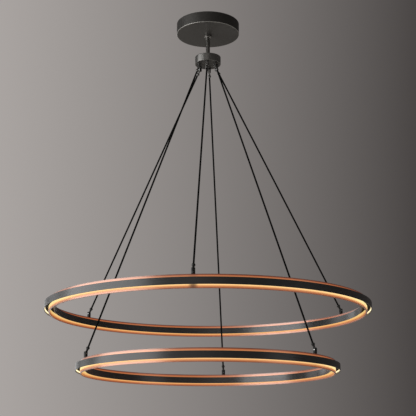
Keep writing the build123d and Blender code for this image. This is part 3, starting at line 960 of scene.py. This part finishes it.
def stemRing():
    s = stemSizes
    line = [(s["ring"], s["ringTop"], s["ringEdge"]), (s["ring"], s["top"], s["ringEdge"]),
            (s["neckHole"], s["top"], 0), (s["neckHole"], s["ringTop"], s["ringHoleEdge"])]
    return turned("stemRing", line, s["segments"])


def stemTube():
    s = stemSizes
    neckBottom = swivelSizes["neckBottom"]
    line = [(s["tube"], s["top"], s["topEdge"]), (s["tube"], s["hubTop"], s["hubEdge"]),
            (s["spigot"], s["hubTop"], 0), (s["spigot"], s["bottom"], s["spigotEdge"]),
            (s["bore"], s["bottom"], 0), (s["bore"], neckBottom, 0),
            (s["neckHole"], neckBottom, 0), (s["neckHole"], s["top"], 0)]
    return turned("stemTube", line, s["segments"])


screwSizes = {"count": 3, "circle": 50.0, "first": -36.0, "head": 4.0, "shank": 2.0, "long": 18.0,
              "socket": 2.5, "socketDeep": 2.0, "socketSides": 6, "tipEdge": 0.3, "ease": 0.12,
              "segments": 48}
hubSizes = {"outer": 64.0, "wall": 3.0, "ceiling": -182.98, "bore": 8.05, "pillar": 6.0, "pillarFoot": -211.0,
            "tap": 2.03, "tapTop": -197.5, "sunk": 1.0, "edge": 2.2, "bottomEdge": 0.7, "insideEdge": 0.3,
            "boreEdge": 0.3, "ease": 0.15, "segments": 128}


def upright(name, radius, low, high, angle):
    place = atAngle(angle) @ move(screwSizes["circle"], 0, (low + high) / 2)
    return rodPiece(name, radius, high - low, place)


def hubShell():
    s = hubSizes
    top = stemSizes["hubTop"]
    inside = s["outer"] - s["wall"]
    line = [(s["outer"], top, s["edge"]), (s["outer"], hubBottom, s["bottomEdge"]),
            (inside, hubBottom, s["insideEdge"]), (inside, s["ceiling"], 0),
            (s["bore"], s["ceiling"], 0), (s["bore"], top, s["boreEdge"])]
    shell = turned("shell", line, s["segments"])
    # pillars inside that the floor's screws go into
    angles = spread(screwSizes["count"], screwSizes["first"])
    foot = s["pillarFoot"]
    pillars = [upright("pillar", s["pillar"], foot, s["ceiling"] + s["sunk"], a) for a in angles]
    taps = [upright("tap", s["tap"], foot - s["sunk"], s["tapTop"], a) for a in angles]
    return copies("hubShell", worked(shell, s["ease"], joined=pillars, cut=taps), [Matrix()])


def plateScrews():
    s = screwSizes
    line = [(0, 0, 0), (s["head"], 0, 0), (s["shank"], s["head"] - s["shank"], 0),
            (s["shank"], s["long"], s["tipEdge"]), (0, s["long"], 0)]
    body = turned("screw", line, s["segments"])
    corner = s["socket"] / 2 / math.cos(math.pi / s["socketSides"])
    key = rodPiece("key", corner, 2 * s["socketDeep"], Matrix(), s["socketSides"])
    data = worked(body, s["ease"], cut=(key,))
    reach = move(s["circle"], 0, hubBottom)
    return copies("plateScrews", data, [atAngle(a) @ reach for a in spread(s["count"], s["first"])])


rimmed = graphiteFinish("canopyGraphite", canopyLook, canopySizes["outer"] * mm, -canopySizes["tall"] * mm)
finishPiece(canopy(), rimmed, "graphite", "ceiling_mount", "canopy_cover")
polished = graphiteFinish("polishedGraphite", polishedLook)
finishPiece(swivelCap(), polished, "graphite", "ceiling_mount", "swivel_cap")
finishPiece(swivelBall(), polished, "graphite", "stem", "swivel_ball")
finishPiece(stemRing(), polished, "graphite", "stem", "stem_ring")
finishPiece(stemTube(), polished, "graphite", "stem", "stem_tube")
finishPiece(hubShell(), graphiteFinish("hubGraphite", hubLook), "graphite", "hub", "hub_shell")
finishPiece(plateScrews(), looks["black_fitting"], "black_fitting", "hub", "hub_plate_screws")
print("canopy, stem and hub made")


# Stage, light and camera, in metres

floorLook = {"height": -3.0, "half": 9.0, "colour": (0.78, 0.755, 0.725), "pale": (0.82, 0.795, 0.765),
             "cloud": {"scale": 0.8}, "cloudTone": 0.4, "rough": 0.85}


def floor():
    look = floorLook
    mesh = bmesh.new()
    bmesh.ops.create_grid(mesh, x_segments=1, y_segments=1, size=look["half"])
    mesh.transform(Matrix.Translation((0, 0, look["height"])))
    data = bpy.data.meshes.new("floor")
    mesh.to_mesh(data)
    mesh.free()
    obj = bpy.data.objects.new("floor", data)
    bpy.context.scene.collection.objects.link(obj)
    f = Finish("paleFloor")
    cloud = f.noise(**look["cloud"])
    f.surface(colour=f.mix(cloud * look["cloudTone"], look["colour"], look["pale"]), rough=look["rough"])
    # seen from below it is clear
    under = f.node("ShaderNodeNewGeometry", output="Backfacing")
    clear = f.node("ShaderNodeBsdfTransparent")
    f.output(f.node("ShaderNodeMixShader", {}, {0: under, 1: Value(f, f.shader.outputs[0]), 2: clear}))
    data.materials.append(f.material)


worldLook = {
    "ambient": (0.3, 0.29, 0.28),
    "wallLeft": (0.4, 0.372, 0.357),
    "wallRight": (0.065, 0.058, 0.056),
    "wallTurn": 0.2,
    "corner": (0.06, 0.056, 0.054),
    "cornerFrom": -0.21,
    "cornerTo": -0.45,
    "surround": (0.27, 0.26, 0.25),
    "surroundFrom": 0.23,
    "surroundTo": 0.55,
}


def world():
    look = worldLook
    made = bpy.data.worlds.new("studio")
    bpy.context.scene.world = made
    n = Nodes(made)
    seen, through, mirrored = [n.node("ShaderNodeLightPath", output=f"Is {kind} Ray")
                               for kind in ("Camera", "Transmission", "Glossy")]
    direct = seen.maths("MAXIMUM", through).maths("MAXIMUM", mirrored)
    ambient = n.node("ShaderNodeBackground", {}, {"Color": look["ambient"]})
    # the wall falls off from the window's side to the far side
    across = n.axes(n.node("ShaderNodeTexCoord", output="Generated"))[0]
    fall = n.between(across, -look["wallTurn"], look["wallTurn"], how="LINEAR")
    wall = n.mix(fall, look["wallLeft"], look["wallRight"])
    # and again in the corner beside the window
    corner = n.between(across, look["cornerTo"], look["cornerFrom"], 1.0, 0.0)
    wall = n.mix(corner, wall, look["corner"])
    # the camera sees a paler backdrop out to both sides
    beside = seen * n.between(abs(across), look["surroundFrom"], look["surroundTo"])
    wall = n.mix(beside, wall, look["surround"])
    backdrop = n.node("ShaderNodeBackground", {}, {"Color": wall})
    n.output(n.node("ShaderNodeMixShader", {}, {0: direct, 1: ambient, 2: backdrop}))


lamps = {
    "windowLeft": {"at": (-2.3, -1.42, -0.97), "aim": (0, -1.42, -0.97), "wide": 3.2, "tall": 3.35,
                   "watts": 120.0},
    "windowBack": {"at": (-7.1, 5.4, -0.85), "aim": (0, 0, -1.0), "wide": 3.2, "tall": 5.0, "watts": 42.0},
    "wallGlow": {"at": (-2.4, 4.6, -1.0), "aim": (-2.4, 0, -1.0), "wide": 1.8, "tall": 4.0, "watts": 22.0},
    "fillRight": {"at": (3.8, -2.2, -2.2), "aim": (0, 0, -1.2), "wide": 2.0, "tall": 2.0, "watts": 12.0},
}


def lamp(name, at, aim, wide, tall, watts):
    data = bpy.data.lights.new(name, "AREA")
    data.shape = "RECTANGLE"
    data.size = wide
    data.size_y = tall
    data.energy = watts
    obj = bpy.data.objects.new(name, data)
    bpy.context.scene.collection.objects.link(obj)
    obj.location = at
    obj.rotation_euler = (Vector(aim) - Vector(at)).to_track_quat("-Z", "Y").to_euler()
    obj.visible_camera = False


cameraSizes = {"at": (0.0005, -4.803, -2.2125), "tilt": 14.646, "focalPixels": 1030.0, "imagePixels": 416.0,
               "sensor": 36.0, "farthest": 100.0}


def camera():
    s = cameraSizes
    data = bpy.data.cameras.new("camera")
    data.sensor_width = s["sensor"]
    data.lens = s["sensor"] * s["focalPixels"] / s["imagePixels"]
    data.clip_end = s["farthest"]
    obj = bpy.data.objects.new("camera", data)
    bpy.context.scene.collection.objects.link(obj)
    obj.location = s["at"]
    obj.rotation_euler = (math.radians(90.0 + s["tilt"]), 0, 0)
    bpy.context.scene.camera = obj


floor()
world()
for name, sizes in lamps.items():
    lamp(name, **sizes)
camera()
bpy.context.scene.view_settings.view_transform = "Standard"
print("stage lit")
